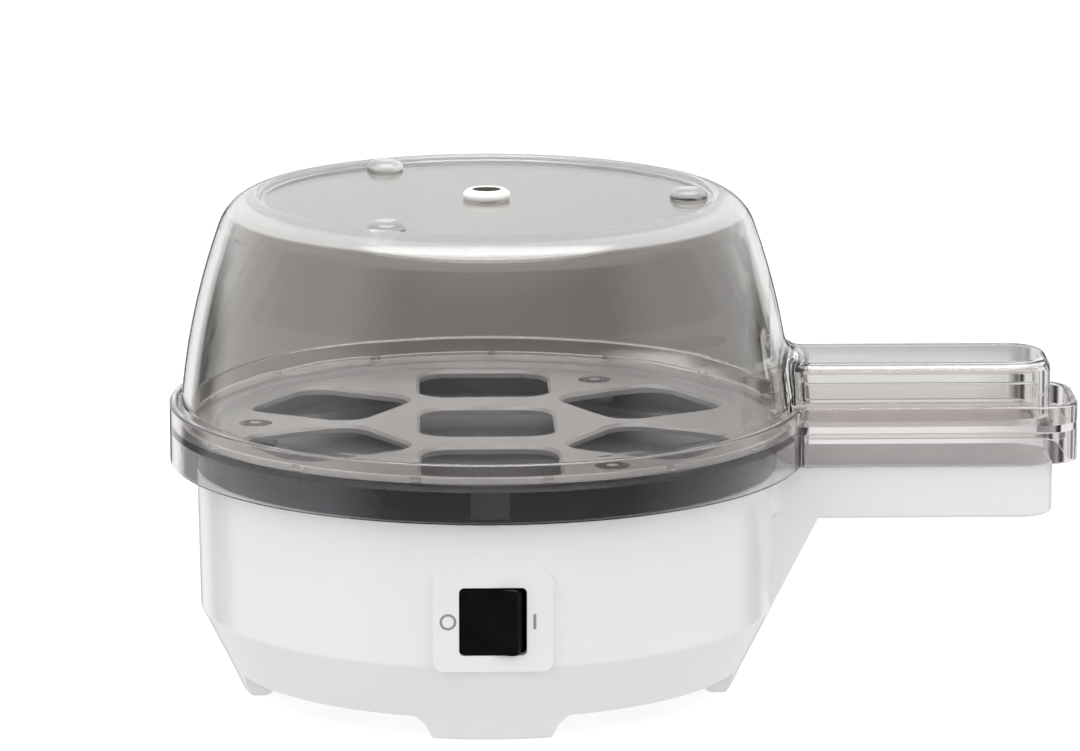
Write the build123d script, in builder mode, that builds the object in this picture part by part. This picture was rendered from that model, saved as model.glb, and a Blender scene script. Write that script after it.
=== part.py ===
from build123d import *
import os
from math import atan2, cos, degrees, pi, radians, sin, sqrt, tan

os.makedirs("parts", exist_ok=True)

# ---------------------------------------------------------------- dimensions
# All lengths are millimetres. The origin is on the axis of the round body, at
# the height of the surface it stands on. +X runs along the handles, -Y is the
# front with the switch.

# white housing
foot_r = 64.0            # outer radius at the bottom of the feet
rim_z, rim_r = 6.4, 67.0     # lower edge of the cone
crease_z, crease_r = 21.3, 74.5
cup_z, cup_r = 56.4, 75.15   # top edge of the cup
wall = 2.3
floor_z, floor_t = 9.0, 2.2
arm_w, arm_x, arm_z = 30.0, 146.5, 45.0
arm_corner = 9.0
deck_z, deck_t = 56.4, 2.2
deck_bore_r = 66.6
pad_w, pad_y, pad_lo, pad_hi = 30.0, -75.4, 20.6, 46.0
inlet_z, clamp_z = 17.4, 21.0    # mains inlet, underside of the cord clamp
front_foot, side_foot = 14.5, 18.0   # half widths of the feet at the floor

# screws that hold the bowl down
post_pcd_r, post_r, post_top = 55.0, 5.25, 46.5

# heating bowl
bowl_t = 1.4
bowl_floor = 51.8
bowl_in_r = 66.0
bowl_step = 58.8
bowl_r = 75.2
bowl_top = 67.2

# egg tray
tray_r, tray_wall = 82.1, 2.0
tray_lo, tray_hi = 59.6, 74.7
plate_lo, plate_hi = 67.5, 69.5      # outer seat for the lid
well_lo, well_hi = 66.2, 68.2        # plate with the egg holes
egg_w, egg_corner, egg_ring = 34.6, 8.0, 47.4
tray_x, tray_handle_w, tray_corner = 152.5, 34.6, 9.5

# lid
lid_lo = 70.8
lid_wall = 2.6
disc_z = 126.8
lid_x, lid_handle_w, lid_handle_top, lid_corner = 145.6, 30.0, 85.7, 10.0
top_z = 129.4

# rocker switch
rock_w, rock_h, rock_z = 16.3, 16.7, 33.4
pivot_y = -69.9
rock_tilt = 8.0          # degrees each side of the middle
face_f = 5.7             # pressed face to pivot
body_y = pad_y + 3.6     # front of the switch body


def ring_points(r, angles):
    return [(r * cos(radians(a)), r * sin(radians(a))) for a in angles]


# ------------------------------------------------------------------- housing
# One continuous foot ring under the cone, cut down to four feet by prisms
# whose sides run out in an S-curve.
foot_depth = 6.6
with BuildPart() as foot_ring:
    with BuildSketch(Plane.XZ):
        with BuildLine():
            Polyline(
                (foot_r, 0), (rim_r - 0.02, rim_z), (rim_r + 1.0, rim_z + 2.6),
                (rim_r - foot_depth + 1.0, rim_z + 2.6),
                (foot_r - foot_depth, 0), close=True,
            )
        make_face()
    revolve(axis=Axis.Z)
    fillet(foot_ring.edges().filter_by(GeomType.CIRCLE).group_by(Axis.Z)[0].sort_by(SortBy.RADIUS)[0], 2.4)
    fillet(foot_ring.edges().filter_by(GeomType.CIRCLE).group_by(Axis.Z)[0].sort_by(SortBy.RADIUS)[-1], 0.9)


def foot_outline(half, flare=6.2):
    """Side view of a foot: flat bottom, S-curve up to the cone's edge."""
    return [
        (-half - flare - 4, rim_z + 3), (-half - flare, rim_z + 0.5),
        (-half - flare * 0.62, rim_z - 0.9), (-half - flare * 0.30, rim_z - 3.1),
        (-half - 0.8, rim_z - 5.6), (-half, -0.5),
    ]


def foot_prism(half):
    side = foot_outline(half)
    with BuildPart() as prism:
        with BuildSketch(Plane.XZ):
            with BuildLine():
                Spline(*side[1:5], tangents=[(1, -0.2), (0.75, -1)])
                Line(side[4], side[5])
                Line(side[5], (half, -0.5))
                Line((half, -0.5), (half + 0.8, side[4][1]))
                Spline(*[(-x, z) for x, z in side[1:5]][::-1], tangents=[(0.75, 1), (1, 0.2)])
                Line((-side[1][0], side[1][1]), (-side[0][0], side[0][1]))
                Line((-side[0][0], side[0][1]), side[0])
                Line(side[0], side[1])
            make_face()
        extrude(amount=80)
    return prism.part


front_prism = foot_prism(front_foot)
side_prism = foot_prism(side_foot)

with BuildPart() as feet:
    add(front_prism)
    add(front_prism.rotate(Axis.Z, 180))
    add(side_prism.rotate(Axis.Z, 90))
    add(side_prism.rotate(Axis.Z, -90))
    add(foot_ring.part, mode=Mode.INTERSECT)

# The underside of the arm carries on the line of the cone, turns through a
# fillet and then runs level.
gusset_slope = (crease_r - rim_r) / (crease_z - rim_z)
gusset_x = crease_r - 0.1 + (arm_z - crease_z) * gusset_slope
gusset_lo = 17.0
with BuildPart() as arm:
    with BuildSketch(Plane.XZ) as arm_side:
        with BuildLine():
            Polyline(
                (60, gusset_lo), (gusset_x - (arm_z - gusset_lo) * gusset_slope, gusset_lo),
                (gusset_x, arm_z), (160, arm_z), (160, cup_z), (60, cup_z), close=True,
            )
        make_face()
        fillet(arm_side.vertices().sort_by_distance((gusset_x, 0, arm_z))[0], 5.0)
    revolve(axis=Axis.Z)
    with BuildSketch(Plane.XY.offset(gusset_lo - 2)) as arm_plan:
        with Locations(((62 + arm_x) / 2, 0)):
            Rectangle(arm_x - 62, arm_w)
        fillet(arm_plan.vertices().filter_by(lambda v: v.X > 140), arm_corner)
    extrude(amount=60, mode=Mode.INTERSECT)
    fillet(arm.edges().filter_by(
        lambda e: abs(e.center().Z - arm_z) < 0.01 and e.center().X > gusset_x + 12), 1.4)

# Small webs that round the corner between the arm's sides and the cup.
with BuildPart() as arm_root:
    with BuildSketch(Plane.XY.offset(arm_z + 1.8)) as root_plan:
        Circle(cup_r - 0.35)
        with Locations((95, 0)):
            Rectangle(60, arm_w)
        fillet(root_plan.vertices().filter_by(lambda v: 60 < v.X < 80), 4.5)
        with Locations((-35, 0)):
            Rectangle(200, 200, mode=Mode.SUBTRACT)
        with Locations((150, 0)):
            Rectangle(120, 200, mode=Mode.SUBTRACT)
    extrude(amount=cup_z - arm_z - 1.8)

with BuildPart() as cup_core:
    # the inside of the cup
    with BuildSketch(Plane.XZ):
        with BuildLine():
            Polyline(
                (0, floor_z + floor_t), (66.8, floor_z + floor_t),
                (crease_r - wall, crease_z + 0.6), (cup_r - wall, cup_z + 1), (0, cup_z + 1),
                close=True,
            )
        make_face()
    revolve(axis=Axis.Z)

with BuildPart() as housing:
    with BuildSketch(Plane.XZ):
        with BuildLine():
            Polyline(
                (0, floor_z), (62.6, floor_z), (64.2, rim_z), (rim_r, rim_z),
                (crease_r, crease_z), (cup_r, cup_z), (0, cup_z), close=True,
            )
        make_face()
    revolve(axis=Axis.Z)
    fillet(housing.edges().filter_by(GeomType.CIRCLE).filter_by(
        lambda e: abs(e.radius - crease_r) < 0.01 and abs(e.center().Z - crease_z) < 0.01), 1.6)
    add(feet.part)
    add(arm.part)
    add(arm_root.part)
    # flat switch pad
    with BuildSketch(Plane.XZ.offset(-pad_y)) as pad:
        with Locations((0, (pad_lo + pad_hi) / 2)):
            RectangleRounded(pad_w, pad_hi - pad_lo, 2.6)
    extrude(amount=-6.0)
    add(cup_core.part, mode=Mode.SUBTRACT)
    # hollow of the arm, open at the top under the deck
    with BuildSketch(Plane.XY.offset(arm_z + 2.2)) as hollow:
        with Locations(((78.0 + arm_x - 2.2) / 2, 0)):
            RectangleRounded(arm_x - 2.2 - 78.0, arm_w - 4.4, 3.0)
    extrude(amount=cup_z, mode=Mode.SUBTRACT)
    # hollow of the gusset
    with BuildSketch(Plane.XZ.offset(-arm_w / 2 + 2.2)):
        with BuildLine():
            Polyline((78.0, 32.0), (78.0, arm_z + 3), (gusset_x - 1.6, arm_z + 3), close=True)
        make_face()
    extrude(amount=arm_w - 4.4, mode=Mode.SUBTRACT)
    # bay behind the pad for the switch
    with Locations((0, pad_y + 3.4, (21.9 + 45.2) / 2)):
        Box(31.6, 14, 23.3, align=(Align.CENTER, Align.MIN, Align.CENTER), mode=Mode.SUBTRACT)
    # rocker window
    with BuildSketch(Plane.XZ.offset(78)):
        with Locations((0, rock_z)):
            RectangleRounded(rock_w + 0.6, rock_h + 0.6, 1.3)
    extrude(amount=-12, mode=Mode.SUBTRACT)
    # pilot holes of the switch screws
    with BuildSketch(Plane.XZ.offset(-(pad_y + 3.4))):
        with Locations((-13.3, rock_z), (13.3, rock_z)):
            Circle(1.15)
    extrude(amount=2.2, mode=Mode.SUBTRACT)
    # posts for the long screws
    with BuildSketch(Plane.XY.offset(floor_z)):
        with PolarLocations(post_pcd_r, 4, start_angle=45):
            Circle(post_r)
    extrude(amount=post_top - floor_z)
    with BuildSketch(Plane.XY.offset(floor_z)):
        with PolarLocations(post_pcd_r, 4, start_angle=45):
            Circle(3.9)
    extrude(amount=40.0 - floor_z, mode=Mode.SUBTRACT)
    with BuildSketch(Plane.XY.offset(floor_z)):
        with PolarLocations(post_pcd_r, 4, start_angle=45):
            Circle(2.2)
    extrude(amount=post_top - floor_z, mode=Mode.SUBTRACT)
    # boss for the mains inlet at the back
    with Locations((0, 66.0, inlet_z)):
        Box(18, 9.0, 15, align=(Align.CENTER, Align.MIN, Align.CENTER))
    with BuildSketch(Plane.XZ.offset(-64)):
        with Locations((0, inlet_z)):
            Circle(4.65)
    extrude(amount=-14, mode=Mode.SUBTRACT)
    # two posts for the cord clamp
    with BuildSketch(Plane.XY.offset(floor_z + 1)):
        with Locations((-8.5, 56), (8.5, 56)):
            Circle(3.0)
    extrude(amount=clamp_z - 0.05 - floor_z - 1)
    with BuildSketch(Plane.XY.offset(clamp_z - 0.05)):
        with Locations((-8.5, 56), (8.5, 56)):
            Circle(1.3)
    extrude(amount=-6.5, mode=Mode.SUBTRACT)
    # ribs under the floor
    with BuildSketch(Plane.XY.offset(floor_z)):
        with PolarLocations(0, 4, start_angle=0):
            with Locations((36, 0)):
                Rectangle(34, 1.6)
        Circle(20)
        Circle(18.2, mode=Mode.SUBTRACT)
    extrude(amount=-1.4)

# The moulding is divided at level and upright planes into a cup, a base pan
# with the feet and posts, and an arm shell. They meet face to face.
split_z, split_x = 20.5, 80.0
with BuildPart() as pan_zone:
    with Locations((0, 0, -10)):
        Box(220, 220, split_z + 10, align=(Align.CENTER, Align.CENTER, Align.MIN))
    Cylinder(62.0, 60, align=(Align.CENTER, Align.CENTER, Align.MIN))
    with Locations((0, 63.0, 5)):
        Box(18.6, 20, 21, align=(Align.CENTER, Align.MIN, Align.MIN))
with BuildPart() as arm_zone:
    with Locations((split_x, 0, 10)):
        Box(100, 60, 60, align=(Align.MIN, Align.CENTER, Align.MIN))
whole = housing.part
with BuildPart() as base_pan:
    add(whole)
    add(pan_zone.part, mode=Mode.INTERSECT)
base_pan.part.label = "base_pan"
with BuildPart() as arm_shell:
    add(whole)
    add(arm_zone.part, mode=Mode.INTERSECT)
arm_shell.part.label = "arm_shell"
with BuildPart() as cup:
    add(whole)
    add(pan_zone.part, mode=Mode.SUBTRACT)
    add(arm_zone.part, mode=Mode.SUBTRACT)
cup.part.label = "housing"

# ---------------------------------------------------------------------- deck
with BuildPart() as top_deck:
    with BuildSketch(Plane.XY.offset(deck_z)) as deck_plan:
        Circle(cup_r)
        with Locations(((60 + arm_x) / 2, 0)):
            Rectangle(arm_x - 60, arm_w)
        fillet(deck_plan.vertices().filter_by(lambda v: 60 < v.X < 80), 4.5)
        fillet(deck_plan.vertices().filter_by(lambda v: v.X > 140), arm_corner)
        Circle(deck_bore_r, mode=Mode.SUBTRACT)
    extrude(amount=deck_t)
    fillet(top_deck.faces().sort_by(Axis.Z)[-1].outer_wire().edges(), 0.9)
    # groove for the seal
    with BuildSketch(Plane.XY.offset(deck_z + deck_t)):
        Circle(72.6)
        Circle(67.9, mode=Mode.SUBTRACT)
    extrude(amount=-1.0, mode=Mode.SUBTRACT)
    # locating rib inside the cup
    with BuildSketch(Plane.XY.offset(deck_z)):
        Circle(72.6)
        Circle(70.8, mode=Mode.SUBTRACT)
    extrude(amount=-2.2)
    with BuildSketch(Plane.XY.offset(deck_z)):
        with Locations((112, 0)):
            RectangleRounded(62, 25.0, 2.6)
            RectangleRounded(59, 22.0, 1.6, mode=Mode.SUBTRACT)
    extrude(amount=-2.2)
top_deck.part.label = "top_deck"

with BuildPart() as bowl_seal:
    with BuildSketch(Plane.XY.offset(deck_z + deck_t - 1.0)):
        Circle(72.4)
        Circle(68.1, mode=Mode.SUBTRACT)
    extrude(amount=bowl_step - 0.02 - (deck_z + deck_t - 1.0))
bowl_seal.part.label = "bowl_seal"

# -------------------------------------------------------------- heating bowl
with BuildPart() as heating_bowl:
    with BuildSketch(Plane.XZ) as bowl_section:
        with BuildLine():
            Polyline(
                (0, bowl_floor), (60.4, bowl_floor), (bowl_in_r, 57.4), (bowl_in_r, bowl_step),
                (bowl_r, bowl_step), (bowl_r, bowl_top), (bowl_r - bowl_t, bowl_top),
                (bowl_r - bowl_t, bowl_step + bowl_t), (bowl_in_r - bowl_t, bowl_step + bowl_t),
                (bowl_in_r - bowl_t, 57.98), (59.8, bowl_floor + bowl_t), (0, bowl_floor + bowl_t),
                close=True,
            )
        make_face()
        fillet(bowl_section.vertices().filter_by(
            lambda v: abs(v.X - bowl_r) < 0.01 and abs(v.Z - bowl_step) < 0.01), 0.9)
        fillet(bowl_section.vertices().filter_by(
            lambda v: abs(v.X - (bowl_r - bowl_t)) < 0.01 and abs(v.Z - bowl_step - bowl_t) < 0.01), 1.2)
        fillet(bowl_section.vertices().filter_by(lambda v: abs(v.Z - bowl_top) < 0.01), 0.55)
        fillet(bowl_section.vertices().filter_by(
            lambda v: abs(v.X - 59.8) < 0.01 and v.Z > bowl_floor + 1), 4.0)
        fillet(bowl_section.vertices().filter_by(
            lambda v: abs(v.X - 60.4) < 0.01 and v.Z < bowl_floor + 1), 5.0)
    revolve(axis=Axis.Z)
    # threaded spigots for the long screws
    with BuildSketch(Plane.XY.offset(bowl_floor + 0.4)):
        with PolarLocations(post_pcd_r, 4, start_angle=45):
            Circle(4.0)
    extrude(amount=-(bowl_floor + 0.4 - post_top - 0.3))
    with BuildSketch(Plane.XY.offset(post_top)):
        with PolarLocations(post_pcd_r, 4, start_angle=45):
            Circle(2.0)
    extrude(amount=5.0, mode=Mode.SUBTRACT)
    # studs for the element clamp
    with BuildSketch(Plane.XY.offset(bowl_floor + 0.4)):
        with PolarLocations(52, 3, start_angle=90):
            Circle(2.0)
    extrude(amount=-(bowl_floor + 0.4 - 38.6))
    # earth stud
    with BuildSketch(Plane.XY.offset(bowl_floor + 0.4)):
        with Locations((0, 27)):
            Circle(2.0)
    extrude(amount=-7.4)
heating_bowl.part.label = "heating_bowl"

with BuildPart() as case_screws:
    with BuildSketch(Plane.XY.offset(37.2)):
        with PolarLocations(post_pcd_r, 4, start_angle=45):
            Circle(3.5)
    extrude(amount=2.75)
    with BuildSketch(Plane.XY.offset(37.2)):
        with PolarLocations(post_pcd_r, 4, start_angle=45):
            Circle(1.95)
    extrude(amount=13.6)
    with BuildSketch(Plane.XY.offset(37.2)):
        with PolarLocations(post_pcd_r, 4, start_angle=45):
            Rectangle(4.4, 0.9)
            Rectangle(0.9, 4.4)
    extrude(amount=1.3, mode=Mode.SUBTRACT)
case_screws.part.label = "case_screws"

# ----------------------------------------------------------- heating element
element_r, element_tube, element_z = 42.0, 3.3, 48.4
bracket_turn = 20.0      # direction of the thermostat bracket
a0, a1 = -70.0, 250.0
with BuildPart() as heating_element:
    with BuildLine() as element_path:
        CenterArc((0, 0, element_z), element_r, a0, a1 - a0)
    with BuildSketch(Plane(origin=element_path.line @ 0, z_dir=element_path.line % 0)):
        Circle(element_tube)
    sweep()
    for a in (a0, a1):
        x, y = ring_points(element_r, [a])[0]
        with Locations((x, y, element_z)):
            Sphere(element_tube)
        with Locations((x, y, 36.0)):
            Cylinder(element_tube, element_z - 36.0, align=(Align.CENTER, Align.CENTER, Align.MIN))
heating_element.part.label = "heating_element"

with BuildPart() as element_insulators:
    with BuildSketch(Plane.XY.offset(33.6)):
        with Locations(*ring_points(element_r, [a0, a1])):
            Circle(2.7)
            Circle(1.25, mode=Mode.SUBTRACT)
    extrude(amount=2.4)
element_insulators.part.label = "element_insulators"

with BuildPart() as element_pins:
    with BuildSketch(Plane.XY.offset(28.0)):
        with Locations(*ring_points(element_r, [a0, a1])):
            Circle(1.2)
    extrude(amount=8.0)
element_pins.part.label = "element_pins"

with BuildPart() as element_clamp:
    with BuildSketch(Plane.XY.offset(43.0)):
        Circle(47.5)
        with PolarLocations(48.5, 3, start_angle=90):
            RectangleRounded(17, 11, 3.0)
        Circle(36.0, mode=Mode.SUBTRACT)
        with PolarLocations(52, 3, start_angle=90):
            Circle(2.1, mode=Mode.SUBTRACT)
        with Locations((0, -42)):
            Rectangle(42, 22, mode=Mode.SUBTRACT)
        with PolarLocations(41.5, 2, start_angle=bracket_turn):
            Circle(1.6, mode=Mode.SUBTRACT)
    extrude(amount=2.0)
element_clamp.part.label = "element_clamp"

with BuildPart() as clamp_nuts:
    with BuildSketch(Plane.XY.offset(39.7)):
        with PolarLocations(52, 3, start_angle=90):
            RegularPolygon(3.9, 6)
            Circle(2.06, mode=Mode.SUBTRACT)
    extrude(amount=3.2)
clamp_nuts.part.label = "clamp_nuts"

# --------------------------------------------------------- thermostat, fuse
with BuildPart() as thermostat_cap:
    with BuildSketch(Plane.XY.offset(48.6)):
        Circle(8.8)
    extrude(amount=3.0)
    fillet(thermostat_cap.edges().group_by(Axis.Z)[-1], 0.8)
    with BuildSketch(Plane.XY.offset(48.6)):
        Circle(8.25)
    extrude(amount=1.2, mode=Mode.SUBTRACT)
thermostat_cap.part.label = "thermostat_cap"

with BuildPart() as thermostat_body:
    with BuildSketch(Plane.XY.offset(39.2)):
        Circle(8.1)
    extrude(amount=10.5)
    with BuildSketch(Plane.XY.offset(39.2)):
        with Locations((0, -10.0)):
            Rectangle(12.5, 6.0)
    extrude(amount=6.0)
    with BuildSketch(Plane.XY.offset(39.2)):
        with Locations((-4.2, -10.0), (4.2, -10.0)):
            Rectangle(0.92, 5.2)
    extrude(amount=6.0, mode=Mode.SUBTRACT)
thermostat_body.part.label = "thermostat_body"

with BuildPart() as thermostat_terminals:
    with BuildSketch(Plane.XY.offset(31.0)):
        with Locations((-4.2, -10.0), (4.2, -10.0)):
            Rectangle(0.8, 5.0)
    extrude(amount=14.1)
thermostat_terminals.part.label = "thermostat_terminals"

turned = Plane.XY.rotated((0, 0, bracket_turn))
across = Plane(origin=turned.y_dir * 4.5, x_dir=turned.x_dir, z_dir=-turned.y_dir)
with BuildPart() as thermostat_bracket:
    with BuildSketch(across):
        with BuildLine():
            Polyline(
                (-45, 41.6), (-37, 41.6), (-12, 37.8), (12, 37.8), (37, 41.6), (45, 41.6),
                (45, 42.8), (36.8, 42.8), (11.8, 39.05), (-11.8, 39.05), (-36.8, 42.8),
                (-45, 42.8), close=True,
            )
        make_face()
    extrude(amount=9)
    with BuildSketch(Plane.XY.offset(41)):
        with PolarLocations(41.5, 2, start_angle=bracket_turn):
            Circle(1.6)
    extrude(amount=3, mode=Mode.SUBTRACT)
thermostat_bracket.part.label = "thermostat_bracket"

with BuildPart() as bracket_screws:
    with BuildSketch(Plane.XY.offset(39.4)):
        with PolarLocations(41.5, 2, start_angle=bracket_turn):
            Circle(2.8)
    extrude(amount=2.15)
    with BuildSketch(Plane.XY.offset(39.4)):
        with PolarLocations(41.5, 2, start_angle=bracket_turn):
            Circle(1.5)
    extrude(amount=5.5)
    with BuildSketch(Plane.XY.offset(39.4)):
        with PolarLocations(41.5, 2, start_angle=bracket_turn):
            Rectangle(3.6, 0.8)
    extrude(amount=0.9, mode=Mode.SUBTRACT)
bracket_screws.part.label = "bracket_screws"

# The fuse lies under the clamp plate, along Y, at the left.
fuse_x, fuse_y, fuse_zc = -38.6, 13.0, 39.6
with BuildPart() as thermal_fuse:
    with BuildSketch(Plane.XZ.offset(-(fuse_y - 5.5))):
        with Locations((fuse_x, fuse_zc)):
            Circle(2.0)
    extrude(amount=-11)
    with BuildSketch(Plane.XZ.offset(-(fuse_y - 11))):
        with Locations((fuse_x, fuse_zc)):
            Circle(0.55)
    extrude(amount=-22)
thermal_fuse.part.label = "thermal_fuse"

with BuildPart() as fuse_sleeve:
    with BuildSketch(Plane.XZ.offset(-(fuse_y - 8.5))):
        with Locations((fuse_x, fuse_zc)):
            Circle(2.7)
            Circle(2.08, mode=Mode.SUBTRACT)
    extrude(amount=-17)
fuse_sleeve.part.label = "fuse_sleeve"

with BuildPart() as fuse_clip:
    with BuildSketch(Plane.XZ.offset(-(fuse_y - 3))):
        with Locations((fuse_x, fuse_zc)):
            Circle(3.4)
        with Locations((fuse_x - 4.2, 42.55)):
            Rectangle(8.4, 0.7)
        with Locations((fuse_x, fuse_zc)):
            Circle(2.76, mode=Mode.SUBTRACT)
        with Locations((fuse_x, 44.0)):
            Rectangle(9, 2.14, mode=Mode.SUBTRACT)
    extrude(amount=-6)
fuse_clip.part.label = "fuse_clip"

# -------------------------------------------------------------------- switch
with BuildPart() as switch_body:
    with Locations((0, body_y, rock_z)):
        Box(22, 15.4, 22, align=(Align.CENTER, Align.MIN, Align.CENTER))
        Box(31, 2.0, 8, align=(Align.CENTER, Align.MIN, Align.CENTER))
        Box(18.8, 13.6, 19.0, align=(Align.CENTER, Align.MIN, Align.CENTER), mode=Mode.SUBTRACT)
    with BuildSketch(Plane.XZ.offset(-body_y)):
        with Locations((-13.3, rock_z), (13.3, rock_z)):
            Circle(1.3)
    extrude(amount=-3, mode=Mode.SUBTRACT)
    with BuildSketch(Plane.XY.offset(rock_z - 12)):
        with Locations((0, pivot_y)):
            Circle(1.25)
    extrude(amount=24, mode=Mode.SUBTRACT)
    with BuildSketch(Plane.XZ.offset(-body_y - 12)):
        with Locations((-6.2, rock_z), (0, rock_z)):
            Rectangle(1.0, 6.6)
    extrude(amount=-5, mode=Mode.SUBTRACT)
switch_body.part.label = "switch_body"

with BuildPart() as switch_screws:
    with BuildSketch(Plane.XZ.offset(-body_y - 2.05)):
        with Locations((-13.3, rock_z), (13.3, rock_z)):
            Circle(2.1)
    extrude(amount=-1.8)
    with BuildSketch(Plane.XZ.offset(-body_y - 3.8)):
        with Locations((-13.3, rock_z), (13.3, rock_z)):
            Circle(1.1)
    extrude(amount=6.0)
    with BuildSketch(Plane.XZ.offset(-body_y - 3.85)):
        with Locations((-13.3, rock_z), (13.3, rock_z)):
            Rectangle(3.0, 0.7)
            Rectangle(0.7, 3.0)
    extrude(amount=0.9, mode=Mode.SUBTRACT)
switch_screws.part.label = "switch_screws"

# The rocker is drawn in its middle position on a plane turned about the
# pivot, so that its left face is pressed flush.
rock_x = Vector(cos(radians(-rock_tilt)), sin(radians(-rock_tilt)), 0)
corner_u = rock_w / 2 * cos(radians(rock_tilt)) - face_f * sin(radians(rock_tilt))
corner_v = face_f * cos(radians(rock_tilt)) + rock_w / 2 * sin(radians(rock_tilt))
crown_v = face_f / cos(radians(rock_tilt))
rock_plan = Plane(origin=(0, pivot_y, rock_z - rock_h / 2), x_dir=rock_x, z_dir=(0, 0, 1))
rock_front = Plane(origin=(0, pivot_y, rock_z), x_dir=rock_x, z_dir=rock_x.cross(Vector(0, 0, 1)))
with BuildPart() as rocker_shape:
    with BuildSketch(rock_plan) as rock_section:
        with BuildLine():
            Polyline(
                (-8.25, 0.6), (-corner_u, -corner_v), (0, -crown_v), (corner_u, -corner_v),
                (8.25, 0.6), (3.0, 0.6), (2.2, 4.6), (-2.2, 4.6), (-3.0, 0.6), close=True,
            )
        make_face()
        fillet(rock_section.vertices().filter_by(
            lambda v: v.Y < pivot_y - corner_v + 2.2 and abs(v.X) > 3), 0.5)
    extrude(amount=rock_h)
with BuildPart() as switch_rocker:
    with BuildSketch(rock_front.offset(-6)):
        RectangleRounded(16.7, rock_h, 2.6)
    extrude(amount=20)
    add(rocker_shape.part, mode=Mode.INTERSECT)
    # the stem is slimmer than the face
    with BuildSketch(rock_plan):
        with Locations((0, 3.2)):
            Rectangle(20, 5.0)
    extrude(amount=rock_h / 2 - 3.2, mode=Mode.SUBTRACT)
    with BuildSketch(rock_plan.offset(rock_h / 2 + 3.2)):
        with Locations((0, 3.2)):
            Rectangle(20, 5.0)
    extrude(amount=rock_h / 2, mode=Mode.SUBTRACT)
    # trunnions
    with BuildSketch(rock_plan.offset(-2.2)):
        Circle(1.2)
    extrude(amount=rock_h + 4.4)
    # bore for the plunger
    with BuildSketch(rock_front.offset(-4.7)):
        Circle(1.35)
    extrude(amount=4.2, mode=Mode.SUBTRACT)
switch_rocker.part.label = "switch_rocker"

with BuildPart() as detent_plunger:
    with BuildSketch(rock_front.offset(-8.35)):
        Circle(1.25)
    extrude(amount=5.55)
    fillet(detent_plunger.edges().sort_by(Axis.Y)[-1], 0.8)
detent_plunger.part.label = "detent_plunger"

with BuildPart() as plunger_spring:
    with BuildLine() as spring_line:
        Helix(pitch=0.55, height=1.9, radius=0.95,
              center=rock_front.offset(-2.65).origin, direction=rock_front.z_dir)
    with BuildSketch(Plane(origin=spring_line.line @ 0, z_dir=spring_line.line % 0)):
        Circle(0.15)
    sweep(is_frenet=True)
plunger_spring.part.label = "plunger_spring"

arm_tilt = 6.0
arm_plane = Plane(origin=(0, body_y + 10.5, rock_z),
                  x_dir=(cos(radians(arm_tilt)), sin(radians(arm_tilt)), 0), z_dir=(0, 0, 1))
with BuildPart() as contact_arm:
    with BuildSketch(arm_plane.offset(-2.5)):
        with BuildLine():
            Polyline(
                (-7.0, -0.55), (-1.2, -0.35), (0, 0.0), (1.2, -0.35), (7.0, -0.55),
                (7.0, 0.15), (1.4, 0.35), (0, 0.62), (-1.4, 0.35), (-7.0, 0.15), close=True,
            )
        make_face()
    extrude(amount=5.0)
contact_arm.part.label = "contact_arm"

with BuildPart() as switch_terminals:
    with Locations((-6.2, body_y + 11.45, rock_z)):
        Box(0.8, 12.95, 6.3, align=(Align.CENTER, Align.MIN, Align.CENTER))
    with Locations((0, body_y + 11.25, rock_z)):
        Box(0.8, 13.15, 6.3, align=(Align.CENTER, Align.MIN, Align.CENTER))
switch_terminals.part.label = "switch_terminals"

# --------------------------------------------------------- inlet and wiring
with BuildPart() as cord_grommet:
    with BuildSketch(Plane.XZ.offset(-63.8)):
        with Locations((0, inlet_z)):
            Circle(5.6)
    extrude(amount=-2.1)
    with BuildSketch(Plane.XZ.offset(-63.8)):
        with Locations((0, inlet_z)):
            Circle(4.6)
    extrude(amount=-13.0)
    with BuildSketch(Plane.XZ.offset(-75.1)):
        with Locations((0, inlet_z)):
            Circle(6.8)
    extrude(amount=-2.1)
    fillet(cord_grommet.edges().sort_by(Axis.Y)[-1], 0.8)
    with BuildSketch(Plane.XZ.offset(-60)):
        with Locations((0, inlet_z)):
            Circle(3.3)
    extrude(amount=-20, mode=Mode.SUBTRACT)
cord_grommet.part.label = "cord_grommet"

with BuildPart() as cord_clamp:
    with BuildSketch(Plane.XY.offset(clamp_z)):
        with Locations((0, 56)):
            RectangleRounded(24, 7, 2.5)
        with Locations((-8.5, 56), (8.5, 56)):
            Circle(1.5, mode=Mode.SUBTRACT)
    extrude(amount=2.6)
    with Locations((0, 56, clamp_z)):
        Box(7.5, 1.2, 0.9, align=(Align.CENTER, Align.CENTER, Align.MAX))
cord_clamp.part.label = "cord_clamp"

with BuildPart() as cord_clamp_screws:
    with BuildSketch(Plane.XY.offset(clamp_z + 2.65)):
        with Locations((-8.5, 56), (8.5, 56)):
            Circle(2.7)
    extrude(amount=1.9)
    with BuildSketch(Plane.XY.offset(clamp_z + 4.55)):
        with Locations((-8.5, 56), (8.5, 56)):
            Circle(1.25)
    extrude(amount=-10.5)
    with BuildSketch(Plane.XY.offset(clamp_z + 4.55)):
        with Locations((-8.5, 56), (8.5, 56)):
            Rectangle(3.4, 0.8)
            Rectangle(0.8, 3.4)
    extrude(amount=-0.9, mode=Mode.SUBTRACT)
cord_clamp_screws.part.label = "cord_clamp_screws"

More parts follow.
